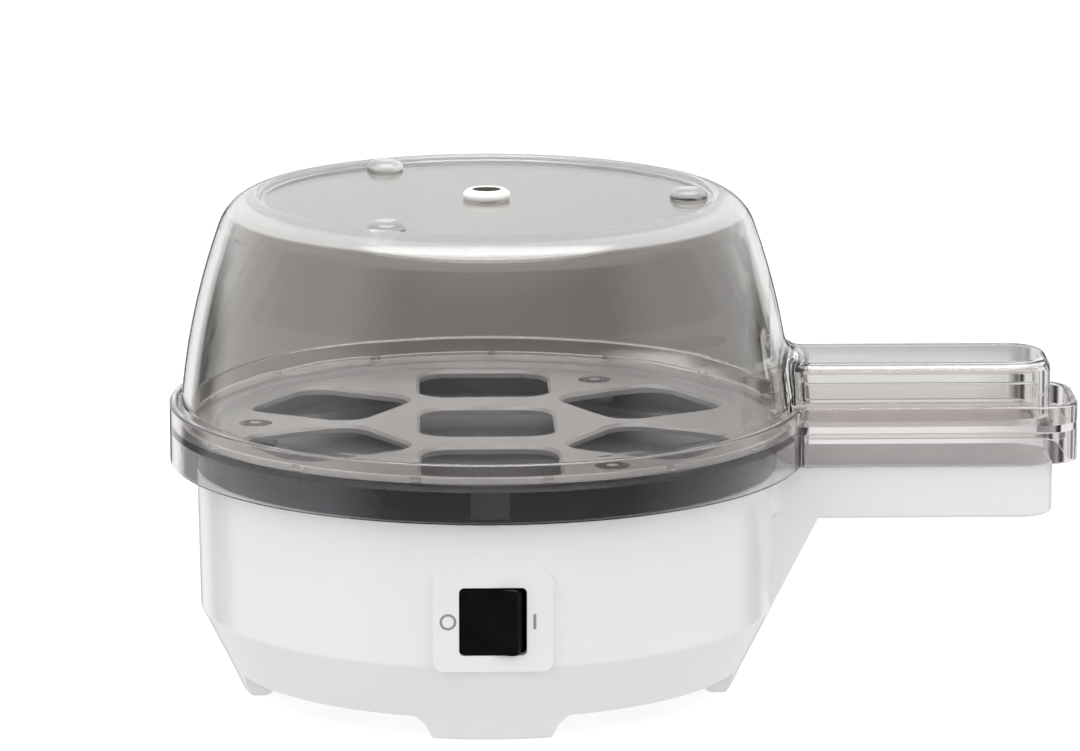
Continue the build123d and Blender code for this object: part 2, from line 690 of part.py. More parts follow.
with BuildPart() as terminal_block:
    with BuildSketch(Plane.XY.offset(floor_z + floor_t + 0.05)):
        with Locations((0, 36)):
            RectangleRounded(31, 13, 1.5)
    extrude(amount=12.5)
    with BuildSketch(Plane.XY.offset(floor_z + floor_t + 12.55)):
        with Locations((-10, 36), (0, 36), (10, 36)):
            Circle(2.7)
    extrude(amount=-5.0, mode=Mode.SUBTRACT)
    with BuildSketch(Plane.XZ.offset(-29)):
        with Locations((-10, 16.5), (0, 16.5), (10, 16.5)):
            Circle(1.9)
    extrude(amount=-14, mode=Mode.SUBTRACT)
terminal_block.part.label = "terminal_block"

with BuildPart() as terminal_screws:
    with BuildSketch(Plane.XY.offset(18.9)):
        with Locations((-10, 36), (0, 36), (10, 36)):
            Circle(2.4)
    extrude(amount=2.6)
    with BuildSketch(Plane.XY.offset(21.5)):
        with Locations((-10, 36), (0, 36), (10, 36)):
            Rectangle(3.6, 0.7)
    extrude(amount=-1.0, mode=Mode.SUBTRACT)
terminal_screws.part.label = "terminal_screws"


def lead(points, bends, radius=1.2):
    """A wire along straight runs joined by tangent arcs."""
    with BuildPart() as wire:
        with BuildLine() as route:
            FilletPolyline(*points, radius=bends)
        with BuildSketch(Plane(origin=route.line @ 0, z_dir=route.line % 0)):
            Circle(radius)
        sweep()
    return wire.part


ex, ey = ring_points(element_r, [a1])[0]

pin_y = body_y + 24.5    # rear ends of the switch terminals
lead_live = lead([(-10, 29.4, 16.5), (-10, 16, 16.5), (-24, -8, 15.5), (-22, -30, 18), (-7, -38, 26),
                  (0, -40.2, rock_z), (0, pin_y, rock_z)], [4.0, 5.5, 5.5, 4.5, 2.4])
lead_live.label = "lead_live"
lead_switched = lead([(-6.2, pin_y, rock_z), (-6.2, -40.5, rock_z), (-9.5, -31, 26.5), (-7.5, -19, 23),
                      (-4.2, -10, 24.5), (-4.2, -10, 30.9)], [2.6, 5.0, 4.2, 2.8])
lead_switched.label = "lead_switched"
lead_fuse = lead([(4.2, -10, 30.9), (4.2, -10, 24), (-4, 1.5, 22.5), (-24, 1.0, 25),
                  (-37.5, -5.0, 31.0), (fuse_x, -4.0, fuse_zc), (fuse_x, fuse_y - 11.05, fuse_zc)],
                 [3.0, 5.5, 6.0, 3.0, 2.6])
lead_fuse.label = "lead_fuse"
lead_element = lead([(fuse_x, fuse_y + 11.05, fuse_zc), (fuse_x, 29.0, 38.8), (-48, 27, 30), (-51, 8, 25),
                     (-46, -18, 21), (-27, -37, 20), (ex, ey, 20.5), (ex, ey, 27.9)],
                    [2.4, 4.0, 8.0, 8.0, 6.0, 3.0])
lead_element.label = "lead_element"
lead_neutral = lead([(-ex, ey, 27.9), (-ex, ey, 20.5), (25, -27, 18.0), (28, -2, 16.5), (19, 17, 16.5),
                     (10, 22, 16.5), (10, 29.4, 16.5)], [3.2, 7.0, 7.0, 4.0, 2.8])
lead_neutral.label = "lead_neutral"
lead_earth = lead([(0, 29.4, 16.5), (0, 20.5, 17.5), (3.0, 15.5, 27), (2.0, 18.5, 38), (0, 27, 39.5), (0, 27, 44.7)],
                  [3.0, 4.0, 3.0, 2.0])
lead_earth.label = "lead_earth"

# ------------------------------------------------------------------ egg tray
with BuildPart() as tray_handle:
    with BuildSketch(Plane.XY.offset(tray_lo)) as handle_plan:
        Circle(tray_r)
        with Locations(((50 + tray_x) / 2, 0)):
            Rectangle(tray_x - 50, tray_handle_w)
        fillet(handle_plan.vertices().filter_by(lambda v: 70 < v.X < 90), 2.6)
        fillet(handle_plan.vertices().filter_by(lambda v: v.X > 140), tray_corner)
        Circle(tray_r - tray_wall + 0.4, mode=Mode.SUBTRACT)
        with Locations((-60, 0)):
            Rectangle(240, 200, mode=Mode.SUBTRACT)
    extrude(amount=tray_hi - tray_lo)

with BuildPart() as egg_tray:
    with BuildSketch(Plane.XZ):
        with BuildLine():
            Polyline(
                (0, well_lo), (70.1, well_lo), (71.4, plate_lo), (tray_r - tray_wall, plate_lo),
                (tray_r - tray_wall, tray_lo), (tray_r, tray_lo), (tray_r, tray_hi),
                (tray_r - tray_wall, tray_hi), (tray_r - tray_wall, plate_hi), (70.3, plate_hi),
                (69.0, well_hi), (0, well_hi), close=True,
            )
        make_face()
    revolve(axis=Axis.Z)
    add(tray_handle.part)
    # upper hollow of the handle, open into the rim for the lid's handle
    with BuildSketch(Plane.XY.offset(plate_hi)):
        with Locations(((60 + tray_x - tray_wall) / 2, 0)):
            RectangleRounded(tray_x - tray_wall - 60, tray_handle_w - 2 * tray_wall, tray_corner - tray_wall)
        with Locations((60, 0)):
            Rectangle(30, tray_handle_w - 2 * tray_wall)
    extrude(amount=10, mode=Mode.SUBTRACT)
    # lower hollow of the handle
    with BuildSketch(Plane.XY.offset(tray_lo - 1)) as low_hollow:
        with Locations(((60 + tray_x - tray_wall) / 2, 0)):
            RectangleRounded(tray_x - tray_wall - 60, tray_handle_w - 2 * tray_wall, tray_corner - tray_wall)
        Circle(tray_r, mode=Mode.SUBTRACT)
    extrude(amount=plate_lo - tray_lo + 1, mode=Mode.SUBTRACT)
    # rounded edges at the rim and the skirt
    fillet(egg_tray.faces().filter_by(Axis.Z).sort_by(Axis.Z)[-1].edges(), 0.6)
    # egg holes with a bevelled upper edge
    with BuildSketch(Plane.XY.offset(well_hi)):
        RectangleRounded(egg_w, egg_w, egg_corner)
        with PolarLocations(egg_ring, 6, start_angle=30):
            RectangleRounded(egg_w, egg_w, egg_corner)
    extrude(amount=-8, mode=Mode.SUBTRACT)
    with BuildSketch(Plane.XY.offset(well_hi)):
        RectangleRounded(egg_w + 1.6, egg_w + 1.6, egg_corner + 0.8)
        with PolarLocations(egg_ring, 6, start_angle=30):
            RectangleRounded(egg_w + 1.6, egg_w + 1.6, egg_corner + 0.8)
    extrude(amount=-0.8, taper=45, mode=Mode.SUBTRACT)
    # three hollow studs between the holes
    with BuildSketch(Plane.XY.offset(well_lo)):
        with PolarLocations(60, 3, start_angle=60):
            Circle(5.8)
    extrude(amount=-3.4)
    with BuildSketch(Plane.XY.offset(well_hi)):
        with PolarLocations(60, 3, start_angle=60):
            Circle(4.4)
    extrude(amount=-4.2, mode=Mode.SUBTRACT)
    with BuildSketch(Plane.XY.offset(well_lo - 3.0)):
        with PolarLocations(60, 3, start_angle=60):
            Circle(1.5)
    extrude(amount=5.2)
    # thicker tab on the inside of the skirt at the front
    with Locations((-0.7, -(tray_r - tray_wall) - 0.5, (60.6 + plate_lo) / 2)):
        Box(9.7, 1.3, plate_lo - 60.6, align=(Align.CENTER, Align.MIN, Align.CENTER))
egg_tray.part.label = "egg_tray"

# ----------------------------------------------------------------------- lid
# The dome is a long arc and a short shoulder arc that are tangent.
dome_c, dome_R, dome_a = (-98.28, 59.84), 177.94, 0.3495
skirt_r, skirt_z = 79.0, 75.0
shoulder_r = 11.785
shoulder_c = (dome_c[0] + (dome_R - shoulder_r) * cos(dome_a),
              dome_c[1] + (dome_R - shoulder_r) * sin(dome_a))


def dome_at(z, t=0.0):
    return (dome_c[0] + sqrt((dome_R - t) ** 2 - (z - dome_c[1]) ** 2), z)


def shoulder_at(x, t=0.0):
    return (x, shoulder_c[1] + sqrt((shoulder_r - t) ** 2 - (x - shoulder_c[0]) ** 2))


def dome_profile(t):
    """Lower corner, start of the dome, its middle, the joint, shoulder middle."""
    joint = (dome_c[0] + (dome_R - t) * cos(dome_a), dome_c[1] + (dome_R - t) * sin(dome_a))
    a_mid = (dome_a + pi / 2) / 2
    mid = (shoulder_c[0] + (shoulder_r - t) * cos(a_mid), shoulder_c[1] + (shoulder_r - t) * sin(a_mid))
    return (skirt_r - t, lid_lo), dome_at(skirt_z, t), dome_at(98.0, t), joint, mid


out_lo, out_start, out_mid, out_joint, out_shoulder = dome_profile(0.0)
in_lo, in_start, in_mid, in_joint, in_shoulder = dome_profile(lid_wall)
out_crest, in_crest = shoulder_at(59.7), shoulder_at(61.2, lid_wall)
with BuildPart() as lid_shell:
    with BuildSketch(Plane.XZ):
        with BuildLine():
            Line(out_lo, out_start)
            ThreePointArc(out_start, out_mid, out_joint)
            ThreePointArc(out_joint, out_shoulder, out_crest)
            ThreePointArc(out_crest, (58.55, out_crest[1] - 0.35), (58.1, out_crest[1] - 1.3))
            Line((58.1, out_crest[1] - 1.3), (57.9, disc_z))
            Line((57.9, disc_z), (0, disc_z))
            Line((0, disc_z), (0, disc_z - lid_wall))
            Line((0, disc_z - lid_wall), (60.2, disc_z - lid_wall))
            Line((60.2, disc_z - lid_wall), in_crest)
            ThreePointArc(in_crest, in_shoulder, in_joint)
            ThreePointArc(in_joint, in_mid, in_start)
            Line(in_start, in_lo)
            Line(in_lo, out_lo)
        make_face()
    revolve(axis=Axis.Z)

with BuildPart() as lid_cavity:
    # what must stay empty inside the dome
    with BuildSketch(Plane.XZ):
        with BuildLine():
            Line((0, lid_lo - 5), (in_lo[0], lid_lo - 5))
            Line((in_lo[0], lid_lo - 5), in_start)
            ThreePointArc(in_start, in_mid, in_joint)
            ThreePointArc(in_joint, in_shoulder, in_crest)
            Line(in_crest, (60.2, disc_z - lid_wall))
            Line((60.2, disc_z - lid_wall), (0, disc_z - lid_wall))
            Line((0, disc_z - lid_wall), (0, lid_lo - 5))
        make_face()
    revolve(axis=Axis.Z)

# The handle runs into the dome with a rounded root. The root starts above the
# tray's rim, so that the rim clears it.
blend_r, blend_lo = 6.5, tray_hi + 0.5
with BuildPart() as lid_form:
    with BuildSketch(Plane.XZ):
        with BuildLine():
            Line((0, 60), (skirt_r, 60))
            Line((skirt_r, 60), out_start)
            ThreePointArc(out_start, out_mid, out_joint)
            Line(out_joint, (0, out_joint[1]))
            Line((0, out_joint[1]), (0, 60))
        make_face()
    revolve(axis=Axis.Z)
    with BuildSketch(Plane.XY.offset(62)) as form_plan:
        with Locations(((66 + lid_x) / 2, 0)):
            Rectangle(lid_x - 66, lid_handle_w)
        fillet(form_plan.vertices().filter_by(lambda v: v.X > 140), lid_corner)
    extrude(amount=lid_handle_top - 62)
    fillet(lid_form.faces().filter_by(Axis.Z).filter_by(
        lambda f: abs(f.center().Z - lid_handle_top) < 0.01).edges().filter_by(
        lambda e: e.center().X > 100), 3.0)
    fillet(lid_form.edges().filter_by(
        lambda e: 70 < e.center().X < 80 and abs(e.center().Y) < 15.5 and 64 < e.center().Z < 90), blend_r)
    with Locations((0, 0, 40)):
        Box(400, 400, blend_lo - 40, align=(Align.CENTER, Align.CENTER, Align.MIN), mode=Mode.SUBTRACT)
    with Locations((-130, 0, 100)):
        Box(400, 400, 200, mode=Mode.SUBTRACT)

with BuildPart() as bump:
    Cylinder(4.9, 5.0, align=(Align.CENTER, Align.CENTER, Align.MIN))
    fillet(bump.edges().filter_by(GeomType.CIRCLE).sort_by(Axis.Z)[-1], 2.5)

with BuildPart() as lid:
    add(lid_shell.part)
    with BuildSketch(Plane.XY.offset(lid_lo)) as lid_handle_plan:
        with Locations(((66 + lid_x) / 2, 0)):
            Rectangle(lid_x - 66, lid_handle_w)
        fillet(lid_handle_plan.vertices().filter_by(lambda v: v.X > 140), lid_corner)
    extrude(amount=blend_lo + 0.5 - lid_lo)
    add(lid_form.part)
    add(lid_cavity.part, mode=Mode.SUBTRACT)
    # hollow of the handle
    with BuildSketch(Plane.XY.offset(lid_lo)) as lid_hollow_plan:
        with Locations(((60 + lid_x - lid_wall) / 2, 0)):
            RectangleRounded(lid_x - lid_wall - 60, lid_handle_w - 2 * lid_wall, lid_corner - lid_wall)
        Circle(skirt_r + 0.2, mode=Mode.SUBTRACT)
    extrude(amount=lid_handle_top - lid_wall - lid_lo, mode=Mode.SUBTRACT)
    # feet on the lower edge, which leave a narrow steam gap
    with BuildSketch(Plane.XY.offset(lid_lo + 0.2)):
        with PolarLocations(skirt_r - 1.0, 15, start_angle=16):
            Rectangle(1.8, 2.2)
    extrude(amount=-1.4)
    # bumps on the top
    with Locations(*[(x, y, top_z - 5.0) for x, y in ring_points(52, (0, 120, 240))]):
        add(bump.part)
    with Locations((0, 0, disc_z - lid_wall)):
        Cylinder(57, 12, align=(Align.CENTER, Align.CENTER, Align.MAX), mode=Mode.SUBTRACT)
    # seat of the vent bush
    with BuildSketch(Plane.XY.offset(disc_z + 3)):
        Circle(5.0)
    extrude(amount=-10, mode=Mode.SUBTRACT)
lid.part.label = "lid"

with BuildPart() as steam_vent:
    with BuildSketch(Plane.XZ) as vent_section:
        with BuildLine():
            Line((3.6, disc_z - 3.4), (5.3, disc_z - 3.4))
            Line((5.3, disc_z - 3.4), (5.9, disc_z - lid_wall - 0.05))
            Line((5.9, disc_z - lid_wall - 0.05), (4.95, disc_z - lid_wall - 0.05))
            Line((4.95, disc_z - lid_wall - 0.05), (4.95, disc_z + 0.05))
            Line((4.95, disc_z + 0.05), (5.7, disc_z + 0.05))
            ThreePointArc((5.7, disc_z + 0.05), (6.15, disc_z + 1.05), (5.55, disc_z + 2.0))
            ThreePointArc((5.55, disc_z + 2.0), (5.15, disc_z + 2.38), (4.6, top_z - 0.02))
            Line((4.6, top_z - 0.02), (3.9, top_z - 0.02))
            Line((3.9, top_z - 0.02), (3.6, top_z - 0.3))
            Line((3.6, top_z - 0.3), (3.6, disc_z - 3.4))
        make_face()
    revolve(axis=Axis.Z)
steam_vent.part.label = "steam_vent"

# --------------------------------------------------------------------- write
nodes = [
    cup.part, base_pan.part, arm_shell.part, top_deck.part, bowl_seal.part, heating_bowl.part, case_screws.part,
    heating_element.part, element_insulators.part, element_pins.part, element_clamp.part,
    clamp_nuts.part, thermostat_cap.part, thermostat_body.part, thermostat_terminals.part,
    thermostat_bracket.part, bracket_screws.part, thermal_fuse.part, fuse_sleeve.part,
    fuse_clip.part, switch_body.part, switch_screws.part, switch_rocker.part,
    detent_plunger.part, plunger_spring.part, contact_arm.part, switch_terminals.part,
    cord_grommet.part, cord_clamp.part, cord_clamp_screws.part, terminal_block.part,
    terminal_screws.part, lead_live, lead_switched, lead_fuse, lead_element, lead_neutral,
    lead_earth, egg_tray.part, lid.part, steam_vent.part,
]
for node in nodes:
    export_step(node, f"parts/{node.label}.step")
    box = node.bounding_box()
    print(f"{node.label:22s} solids {len(node.solids())}  volume {node.volume:10.1f}  "
          f"x {box.min.X:7.2f} {box.max.X:7.2f}  y {box.min.Y:7.2f} {box.max.Y:7.2f}  "
          f"z {box.min.Z:7.2f} {box.max.Z:7.2f}")
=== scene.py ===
import math

import bmesh
import bpy
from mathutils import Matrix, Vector


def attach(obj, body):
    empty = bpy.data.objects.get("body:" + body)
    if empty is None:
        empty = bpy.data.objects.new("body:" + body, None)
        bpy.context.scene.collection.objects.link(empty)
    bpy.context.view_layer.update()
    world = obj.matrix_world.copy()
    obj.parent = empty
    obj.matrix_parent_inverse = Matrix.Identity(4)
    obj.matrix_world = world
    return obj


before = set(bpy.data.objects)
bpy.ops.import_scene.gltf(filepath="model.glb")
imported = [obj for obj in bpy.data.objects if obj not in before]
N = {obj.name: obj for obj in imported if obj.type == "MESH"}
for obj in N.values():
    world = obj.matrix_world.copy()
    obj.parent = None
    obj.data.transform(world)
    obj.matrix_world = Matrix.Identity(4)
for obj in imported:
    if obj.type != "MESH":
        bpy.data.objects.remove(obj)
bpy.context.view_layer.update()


scene = bpy.context.scene

# ------------------------------------------------------------------- camera
MM = 0.001
target = Vector((13.75, 0.0, 80.2)) * MM
eye = Vector((-29.4, -1565.9, 405.8)) * MM
cam_data = bpy.data.cameras.new("camera")
cam_data.lens = 206.0
cam_data.sensor_width = 36.0
cam_data.sensor_fit = "HORIZONTAL"
cam_data.clip_start = 0.05
cam_data.clip_end = 60.0
cam = bpy.data.objects.new("camera", cam_data)
scene.collection.objects.link(cam)
cam.location = eye
cam.rotation_euler = (target - eye).to_track_quat("-Z", "Y").to_euler()
scene.camera = cam


# ---------------------------------------------------------------- materials
class Mat:
    """A small helper for building a node material."""

    def __init__(self, name):
        self.m = bpy.data.materials.new(name)
        self.m.use_nodes = True
        self.t = self.m.node_tree
        for n in list(self.t.nodes):
            if n.type not in ("OUTPUT_MATERIAL", "BSDF_PRINCIPLED"):
                self.t.nodes.remove(n)
        self.b = next(n for n in self.t.nodes if n.type == "BSDF_PRINCIPLED")
        self.out = next(n for n in self.t.nodes if n.type == "OUTPUT_MATERIAL")
        self.co = self.t.nodes.new("ShaderNodeTexCoord").outputs["Object"]

    def node(self, kind, **values):
        n = self.t.nodes.new(kind)
        for k, v in values.items():
            setattr(n, k, v)
        return n

    def link(self, a, b):
        self.t.links.new(a, b)

    def set(self, **values):
        names = {"base": "Base Color", "metal": "Metallic", "rough": "Roughness", "ior": "IOR",
                 "trans": "Transmission Weight", "coat": "Coat Weight", "coat_rough": "Coat Roughness",
                 "spec": "Specular IOR Level", "sss": "Subsurface Weight", "aniso": "Anisotropic",
                 "sheen": "Sheen Weight"}
        for k, v in values.items():
            s = self.b.inputs[names[k]]
            s.default_value = (*v, 1.0) if k == "base" else v
        return self

    def noise(self, scale, detail=4.0, rough=0.55, at=None, distort=0.0):
        n = self.node("ShaderNodeTexNoise")
        n.inputs["Scale"].default_value = scale
        n.inputs["Detail"].default_value = detail
        n.inputs["Roughness"].default_value = rough
        n.inputs["Distortion"].default_value = distort
        self.link(at or self.co, n.inputs["Vector"])
        return n.outputs["Fac"]

    def ramp(self, fac, stops):
        n = self.node("ShaderNodeValToRGB")
        e = n.color_ramp.elements
        while len(e) < len(stops):
            e.new(0.5)
        for i, (p, c) in enumerate(stops):
            e[i].position = p
            e[i].color = (*c, 1.0) if hasattr(c, "__len__") else (c, c, c, 1.0)
        self.link(fac, n.inputs["Fac"])
        return n.outputs["Color"]

    def math(self, op, a, b=None, clamp=False):
        n = self.node("ShaderNodeMath", operation=op, use_clamp=clamp)
        for i, v in enumerate((a, b)):
            if v is None:
                continue
            if isinstance(v, (int, float)):
                n.inputs[i].default_value = v
            else:
                self.link(v, n.inputs[i])
        return n.outputs[0]

    def remap(self, v, a, b, c, d):
        n = self.node("ShaderNodeMapRange")
        n.inputs["From Min"].default_value = a
        n.inputs["From Max"].default_value = b
        n.inputs["To Min"].default_value = c
        n.inputs["To Max"].default_value = d
        self.link(v, n.inputs["Value"])
        return n.outputs["Result"]

    def mix(self, fac, a, b):
        n = self.node("ShaderNodeMix", data_type="RGBA")
        for s, v in ((n.inputs[0], fac), (n.inputs[6], a), (n.inputs[7], b)):
            if isinstance(v, (int, float)):
                s.default_value = v
            elif isinstance(v, tuple):
                s.default_value = (*v, 1.0)
            else:
                self.link(v, s)
        return n.outputs[2]

    def xyz(self):
        n = self.node("ShaderNodeSeparateXYZ")
        self.link(self.co, n.inputs[0])
        return n.outputs

    def radius(self):
        x, y, z = self.xyz()
        return self.math("SQRT", self.math("ADD", self.math("MULTIPLY", x, x), self.math("MULTIPLY", y, y)))

    def bump(self, height, strength, distance):
        n = self.node("ShaderNodeBump")
        n.inputs["Strength"].default_value = strength
        n.inputs["Distance"].default_value = distance
        self.link(height, n.inputs["Height"])
        self.link(n.outputs["Normal"], self.b.inputs["Normal"])
        return n

    def to(self, socket, v):
        self.link(v, self.b.inputs[socket])


def moulded(name, base, rough=0.30, vary=0.02, grain=0.05, spec=0.5, coat=0.0, edge=None):
    """Moulded plastic: faint flow clouds in the colour, uneven gloss, fine grain."""
    m = Mat(name)
    m.set(base=base, rough=rough, spec=spec, coat=coat, coat_rough=0.08, ior=1.5)
    flow = m.noise(18.0, 3.0, 0.5, distort=0.6)
    fine = m.noise(900.0, 3.0, 0.6)
    lo = tuple(max(0.0, c - vary) for c in base)
    hi = tuple(min(1.0, c + vary) for c in base)
    m.to("Base Color", m.ramp(flow, [(0.30, lo), (0.70, hi)]))
    m.to("Roughness", m.remap(m.noise(60.0, 4.0), 0.3, 0.7, rough * 0.85, rough * 1.15))
    m.bump(fine, grain, 0.00005)
    return m.m


def metal(name, base, rough=0.3, brush=(1, 1, 40), dark=0.75, grain=0.1):
    """Brushed or plated metal."""
    m = Mat(name)
    m.set(base=base, metal=1.0, rough=rough)
    mp = m.node("ShaderNodeMapping")
    mp.inputs["Scale"].default_value = brush
    m.link(m.co, mp.inputs["Vector"])
    streak = m.noise(90.0, 5.0, 0.6, at=mp.outputs[0])
    stain = m.noise(35.0, 3.0, 0.6)
    m.to("Base Color", m.mix(m.remap(stain, 0.35, 0.75, 0.0, 1.0), base, tuple(c * dark for c in base)))
    m.to("Roughness", m.remap(streak, 0.3, 0.7, rough * 0.7, rough * 1.4))
    m.bump(streak, grain, 0.00005)
    return m.m


def ceramic(name, base, rough=0.7):
    m = Mat(name)
    m.set(base=base, rough=rough, spec=0.3)
    speck = m.noise(700.0, 5.0, 0.7)
    m.to("Base Color", m.ramp(speck, [(0.35, tuple(c * 0.88 for c in base)), (0.6, base)]))
    m.bump(speck, 0.25, 0.0001)
    return m.m


def wire(name, base, stripe=None):
    """Silicone insulation, with a helical second colour on the earth lead."""
    m = Mat(name)
    m.set(base=base, rough=0.5, spec=0.35)
    fine = m.noise(500.0, 3.0)
    if stripe:
        w = m.node("ShaderNodeTexWave", wave_type="BANDS", bands_direction="DIAGONAL")
        w.inputs["Scale"].default_value = 90.0
        m.link(m.co, w.inputs["Vector"])
        m.to("Base Color", m.mix(m.remap(w.outputs["Fac"], 0.45, 0.55, 0.0, 1.0), base, stripe))
    else:
        m.to("Base Color", m.ramp(fine, [(0.3, tuple(c * 0.85 for c in base)), (0.7, base)]))
    m.bump(fine, 0.2, 0.00005)
    return m.m


def white_body():
    m = Mat("white_body")
    base = (0.80, 0.805, 0.82)
    m.set(base=base, rough=0.22, spec=0.5, coat=0.25, coat_rough=0.06, ior=1.5)
    flow = m.noise(11.0, 2.5, 0.5, distort=0.8)
    x, y, z = m.xyz()
    tone = m.ramp(flow, [(0.30, (0.79, 0.795, 0.81)), (0.70, (0.81, 0.815, 0.828))])
    # painted shade: patchy darkening where the cone meets the worktop
    low = m.remap(z, 0.0, 0.010, 1.0, 0.0)
    painted_bottom_shade = m.math("MULTIPLY", low, m.remap(m.noise(140.0, 5.0), 0.4, 0.8, 0.0, 0.35), clamp=True)
    m.to("Base Color", m.mix(painted_bottom_shade, tone, (0.66, 0.66, 0.66)))
    m.to("Roughness", m.remap(m.noise(45.0, 5.0), 0.3, 0.7, 0.18, 0.27))
    m.bump(m.noise(1100.0, 3.0), 0.04, 0.00004)
    return m.m


def clear_lid():
    m = Mat("smoked_lid")
    base = (0.79, 0.775, 0.755)
    thin = (0.905, 0.90, 0.885)
    m.set(base=base, rough=0.012, trans=1.0, ior=1.54, spec=0.5)
    flow = m.noise(9.0, 2.0, 0.5, distort=0.5)
    dome = m.ramp(flow, [(0.30, tuple(c - 0.012 for c in base)), (0.70, tuple(c + 0.012 for c in base))])
    grip = m.ramp(flow, [(0.30, tuple(c - 0.008 for c in thin)), (0.70, tuple(c + 0.008 for c in thin))])
    # the grip is thin and pale, the dome smoked; painted highlight: the ring round the top and the beads are whitened
    # and made less clear to stand in for the bright light along the shoulder and on the beads
    x, y, z = m.xyz()
    tone = m.mix(m.remap(x, 0.076, 0.084, 0.0, 1.0), dome, grip)
    ring = m.math("MULTIPLY", m.remap(z, 0.1239, 0.1245, 0.0, 1.0), m.remap(m.radius(), 0.0568, 0.0576, 0.0, 1.0))
    bead_highlight = m.math("MULTIPLY", m.remap(z, 0.1270, 0.1276, 0.0, 1.0), m.remap(m.radius(), 0.0568, 0.0576, 1.0, 0.0))
    painted_highlight = m.math("ADD", ring, bead_highlight, clamp=True)
    m.to("Base Color", m.mix(painted_highlight, tone, (0.95, 0.945, 0.93)))
    m.to("Transmission Weight", m.remap(painted_highlight, 0.0, 1.0, 1.0, 0.64))
    gloss = m.remap(m.noise(70.0, 5.0, 0.6), 0.35, 0.75, 0.002, 0.009)
    m.to("Roughness", m.math("ADD", gloss, m.remap(painted_highlight, 0.0, 1.0, 0.0, 0.06)))
    m.bump(m.noise(11.0, 2.0, 0.5), 0.03, 0.0004)
    return m.m


def clear_tray():
    m = Mat("clear_tray")
    m.set(base=(0.84, 0.82, 0.84), rough=0.03, trans=0.9, ior=1.52, spec=0.5)
    r = m.radius()
    plate = m.remap(r, 0.0780, 0.0800, 1.0, 0.0)
    flow = m.noise(12.0, 2.0, 0.5, distort=0.5)
    clear = m.ramp(flow, [(0.30, (0.83, 0.805, 0.80)), (0.70, (0.86, 0.83, 0.825))])
    grip = m.ramp(flow, [(0.30, (0.87, 0.835, 0.83)), (0.70, (0.885, 0.85, 0.845))])
    milky = m.ramp(flow, [(0.30, (0.70, 0.692, 0.71)), (0.70, (0.74, 0.732, 0.75))])
    clear = m.mix(m.remap(m.xyz()[0], 0.078, 0.086, 0.0, 1.0), clear, grip)
    m.to("Base Color", m.mix(plate, clear, milky))
    m.to("Transmission Weight", m.remap(plate, 0.0, 1.0, 0.99, 0.30))
    m.to("Roughness", m.remap(plate, 0.0, 1.0, 0.02, 0.16))
    m.bump(m.noise(600.0, 3.0), 0.03, 0.00004)
    return m.m


def coated():
    m = Mat("dark_coating")
    base = (0.055, 0.056, 0.070)
    m.set(base=base, rough=0.26, metal=1.0, spec=0.25)
    speck = m.noise(1600.0, 4.0, 0.7)
    outer = m.ramp(speck, [(0.45, base), (0.68, (0.095, 0.095, 0.11))])
    inner = m.ramp(speck, [(0.40, (0.13, 0.132, 0.15)), (0.68, (0.17, 0.172, 0.195))])
    # painted light: the inner wall is lightened towards its top, where it lies in the shade of the tray above
    painted_light_top = m.remap(m.xyz()[2], 0.0525, 0.0600, 0.0, 1.0)
    inner = m.mix(painted_light_top, inner, (0.58, 0.585, 0.62))
    side = m.remap(m.radius(), 0.0740, 0.0746, 0.0, 1.0)
    m.to("Base Color", m.mix(side, inner, outer))
    m.to("Metallic", m.remap(side, 0.0, 1.0, 0.0, 1.0))
    m.to("Roughness", m.math("ADD", m.remap(m.noise(80.0, 5.0), 0.3, 0.7, 0.20, 0.30), m.remap(side, 0.0, 1.0, 0.30, 0.0)))
    m.bump(speck, 0.08, 0.00004)
    return m.m


def vent_bush():
    m = Mat("cream_vent")
    base = (0.93, 0.915, 0.885)
    m.set(base=base, rough=0.30, spec=0.5)
    tone = m.ramp(m.noise(18.0, 3.0, 0.5, distort=0.6), [(0.30, tuple(c - 0.012 for c in base)), (0.70, base)])
    # painted shade: the bore is darkened to stand in for the shade inside the hole
    m.to("Base Color", m.mix(m.remap(m.radius(), 0.00364, 0.0038, 1.0, 0.0), tone, (0.13, 0.125, 0.11)))
    m.to("Roughness", m.remap(m.noise(60.0, 4.0), 0.3, 0.7, 0.26, 0.35))
    m.bump(m.noise(900.0, 3.0, 0.6), 0.06, 0.00005)
    return m.m


def gloss_black():
    m = Mat("gloss_black")
    m.set(base=(0.002, 0.002, 0.0022), rough=0.14, spec=0.22, coat=0.0)
    m.to("Roughness", m.remap(m.noise(220.0, 5.0), 0.3, 0.7, 0.10, 0.24))
    m.to("Base Color", m.ramp(m.noise(40.0, 3.0), [(0.3, (0.0015, 0.0015, 0.0018)), (0.7, (0.003, 0.003, 0.0034))]))
    m.bump(m.noise(900.0, 3.0), 0.05, 0.00004)
    return m.m


def sleeve():
    m = Mat("glass_sleeve")
    m.set(base=(0.80, 0.77, 0.68), rough=0.8, spec=0.2)
    w = m.node("ShaderNodeTexWave", wave_type="BANDS", bands_direction="DIAGONAL")
    w.inputs["Scale"].default_value = 420.0
    w.inputs["Distortion"].default_value = 1.0
    m.link(m.co, w.inputs["Vector"])
    m.to("Base Color", m.ramp(w.outputs["Fac"], [(0.2, (0.62, 0.58, 0.48)), (0.8, (0.84, 0.81, 0.72))]))
    m.bump(w.outputs["Fac"], 0.4, 0.0001)
    return m.m


